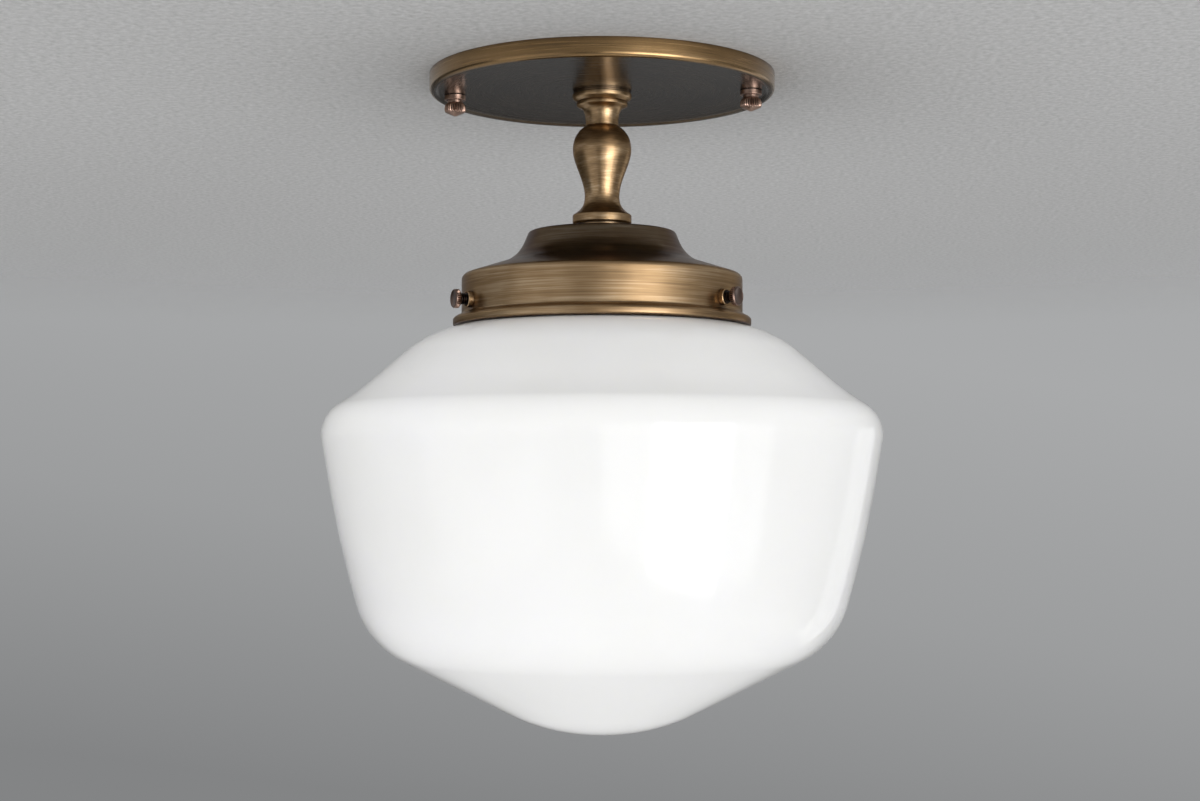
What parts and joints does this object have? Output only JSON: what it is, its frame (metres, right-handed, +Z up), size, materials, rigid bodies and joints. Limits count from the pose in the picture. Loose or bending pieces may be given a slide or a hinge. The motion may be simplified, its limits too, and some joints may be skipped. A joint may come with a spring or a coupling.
{
  "type": "semi flush ceiling light",
  "caption": "Semi flush ceiling light: round canopy, turned stem, shade holder with thumb screws and a closed opal glass schoolhouse shade over a screw-in bulb.",
  "frame": {"origin": "where the light's axis meets the ceiling, at the middle of the crossbar's slots, on its top face", "axes": "+Z up, into the ceiling, along the light's axis; +X along the crossbar, through both canopy knobs; the picture's side is -Y"},
  "size_m": [0.2038, 0.2038, 0.2406],
  "materials": {
    "antique_brass": "brushed antique brass, dark in the low spots",
    "copper_brass": "darker, slightly coppery turned brass",
    "zinc_steel": "zinc-plated steel",
    "dark_steel": "dark oiled steel thread",
    "green_paint": "green dyed steel",
    "opal_glass": "glossy opal white glass",
    "porcelain": "white glazed porcelain",
    "bright_aluminium": "bright drawn aluminium",
    "contact_brass": "bright brass",
    "lead_black": "black wire insulation",
    "lead_white": "white wire insulation",
    "black_glass": "black moulded insulator",
    "white_plastic": "white plastic",
    "light_board": "white solder mask on an aluminium board",
    "diffuser_plastic": "frosted white plastic"
  },
  "bodies": {
    "fixture": {"crossbar": "zinc_steel", "canopy_studs": "zinc_steel", "stud_nuts": "zinc_steel", "ground_screw": "green_paint", "canopy": "antique_brass", "stem_nipple": "zinc_steel", "lock_washer_top": "zinc_steel", "nipple_nut_top": "zinc_steel", "neck_collar": "antique_brass", "neck_baluster": "antique_brass", "neck_foot_ring": "antique_brass", "shade_holder": "antique_brass", "screw_bosses": "copper_brass", "lock_washer_bottom": "zinc_steel", "nipple_nut_bottom": "zinc_steel", "shade": "opal_glass", "lampholder_cap": "bright_aluminium", "cap_screws": "zinc_steel", "lampholder_body": "porcelain", "lampholder_shell": "bright_aluminium", "lampholder_contact": "contact_brass", "lead_live": "lead_black", "lead_neutral": "lead_white"},
    "canopy_knob_left_thread": {"canopy_knob_collar_left": "copper_brass"},
    "canopy_knob_left_head": {"canopy_knob_head_left": "copper_brass"},
    "canopy_knob_right_thread": {"canopy_knob_collar_right": "copper_brass"},
    "canopy_knob_right_head": {"canopy_knob_head_right": "copper_brass"},
    "thumb_screw_1_thread": {"thumb_screw_shank_1": "dark_steel"},
    "thumb_screw_1_head": {"thumb_screw_head_1": "copper_brass"},
    "thumb_screw_2_thread": {"thumb_screw_shank_2": "dark_steel"},
    "thumb_screw_2_head": {"thumb_screw_head_2": "copper_brass"},
    "thumb_screw_3_thread": {"thumb_screw_shank_3": "dark_steel"},
    "thumb_screw_3_head": {"thumb_screw_head_3": "copper_brass"},
    "bulb_thread": {"bulb_contact": "contact_brass"},
    "bulb_head": {"bulb_insulator": "black_glass", "bulb_screw_cap": "bright_aluminium", "bulb_housing": "white_plastic", "bulb_board": "light_board", "bulb_diffuser": "diffuser_plastic"}
  },
  "joints": [
    {"name": "canopy_knob_left_travel", "type": "slide", "parent": "fixture", "child": "canopy_knob_left_thread", "axis": [0, 0, -1], "range_m": [0, 0.00556]},
    {"name": "canopy_knob_left_turn", "type": "hinge", "parent": "canopy_knob_left_thread", "child": "canopy_knob_left_head", "pos_m": [-0.05475, 0, -0.0118], "axis": [0, 0, -1], "range_deg": [0, 2520]},
    {"name": "canopy_knob_right_travel", "type": "slide", "parent": "fixture", "child": "canopy_knob_right_thread", "axis": [0, 0, -1], "range_m": [0, 0.00556]},
    {"name": "canopy_knob_right_turn", "type": "hinge", "parent": "canopy_knob_right_thread", "child": "canopy_knob_right_head", "pos_m": [0.05475, 0, -0.0118], "axis": [0, 0, -1], "range_deg": [0, 2520]},
    {"name": "thumb_screw_1_travel", "type": "slide", "parent": "fixture", "child": "thumb_screw_1_thread", "axis": [0, 1, 0], "range_m": [0, 0.00397]},
    {"name": "thumb_screw_1_turn", "type": "hinge", "parent": "thumb_screw_1_thread", "child": "thumb_screw_1_head", "pos_m": [0, 0.0561, -0.08458], "axis": [0, 1, 0], "range_deg": [0, 1800]},
    {"name": "thumb_screw_2_travel", "type": "slide", "parent": "fixture", "child": "thumb_screw_2_thread", "axis": [-0.866, -0.5, 0], "range_m": [0, 0.00397]},
    {"name": "thumb_screw_2_turn", "type": "hinge", "parent": "thumb_screw_2_thread", "child": "thumb_screw_2_head", "pos_m": [-0.04858, -0.02805, -0.08458], "axis": [-0.866, -0.5, 0], "range_deg": [0, 1800]},
    {"name": "thumb_screw_3_travel", "type": "slide", "parent": "fixture", "child": "thumb_screw_3_thread", "axis": [0.866, -0.5, 0], "range_m": [0, 0.00397]},
    {"name": "thumb_screw_3_turn", "type": "hinge", "parent": "thumb_screw_3_thread", "child": "thumb_screw_3_head", "pos_m": [0.04858, -0.02805, -0.08458], "axis": [0.866, -0.5, 0], "range_deg": [0, 1800]},
    {"name": "bulb_travel", "type": "slide", "parent": "fixture", "child": "bulb_thread", "axis": [0, 0, -1], "range_m": [0, 0.01814]},
    {"name": "bulb_turn", "type": "hinge", "parent": "bulb_thread", "child": "bulb_head", "pos_m": [0, 0, -0.0865], "axis": [0, 0, -1], "range_deg": [0, 1800]}
  ],
  "couplings": [
    {"joint": "canopy_knob_left_turn", "follows": "canopy_knob_left_travel", "rad_per_m": 7913.3},
    {"joint": "canopy_knob_right_turn", "follows": "canopy_knob_right_travel", "rad_per_m": 7913.3},
    {"joint": "thumb_screw_1_turn", "follows": "thumb_screw_1_travel", "rad_per_m": 7913.3},
    {"joint": "thumb_screw_2_turn", "follows": "thumb_screw_2_travel", "rad_per_m": 7913.3},
    {"joint": "thumb_screw_3_turn", "follows": "thumb_screw_3_travel", "rad_per_m": 7913.3},
    {"joint": "bulb_turn", "follows": "bulb_travel", "rad_per_m": 1731.4}
  ]
}
